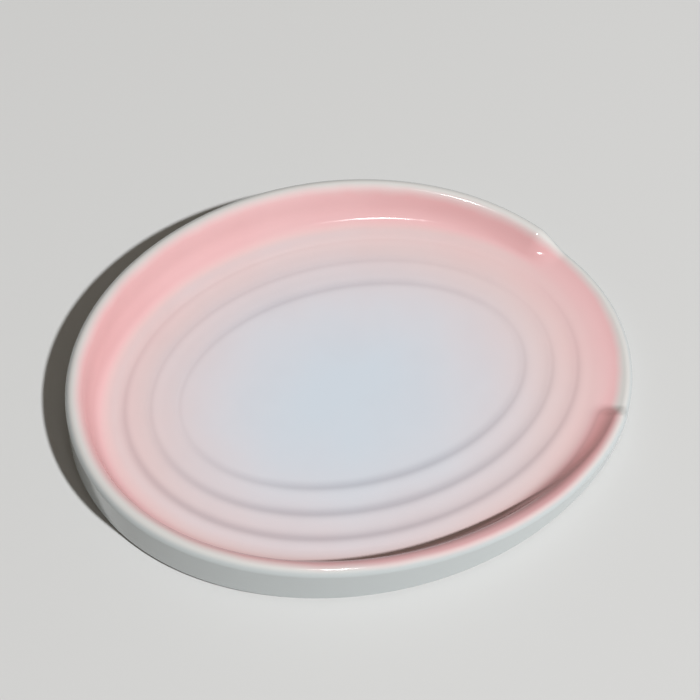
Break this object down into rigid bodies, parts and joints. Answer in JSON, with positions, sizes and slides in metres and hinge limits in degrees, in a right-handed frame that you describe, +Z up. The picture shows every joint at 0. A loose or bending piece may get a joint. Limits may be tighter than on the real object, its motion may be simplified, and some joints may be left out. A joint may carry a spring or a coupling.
{
  "type": "spoon rest",
  "caption": "Oval stoneware spoon rest: a shallow dish with three concentric rings in its floor, a wall that slopes down towards a wide notch for the handle, and a foot ring.",
  "frame": {"origin": "middle of the dish's footprint, on the table", "axes": "+X along the length, towards the notch; +Z up"},
  "size_m": [0.1518, 0.1172, 0.0154],
  "materials": {
    "fired_clay": "bare fired stoneware, matte",
    "pink_glaze": "gloss glaze, pink on the wall fading to pale blue white in the middle",
    "white_glaze": "gloss cool white glaze"
  },
  "bodies": {
    "root": {"stoneware_body": "fired_clay", "well_glaze": "pink_glaze", "outer_glaze": "white_glaze", "base_glaze": "white_glaze"}
  },
  "joints": []
}
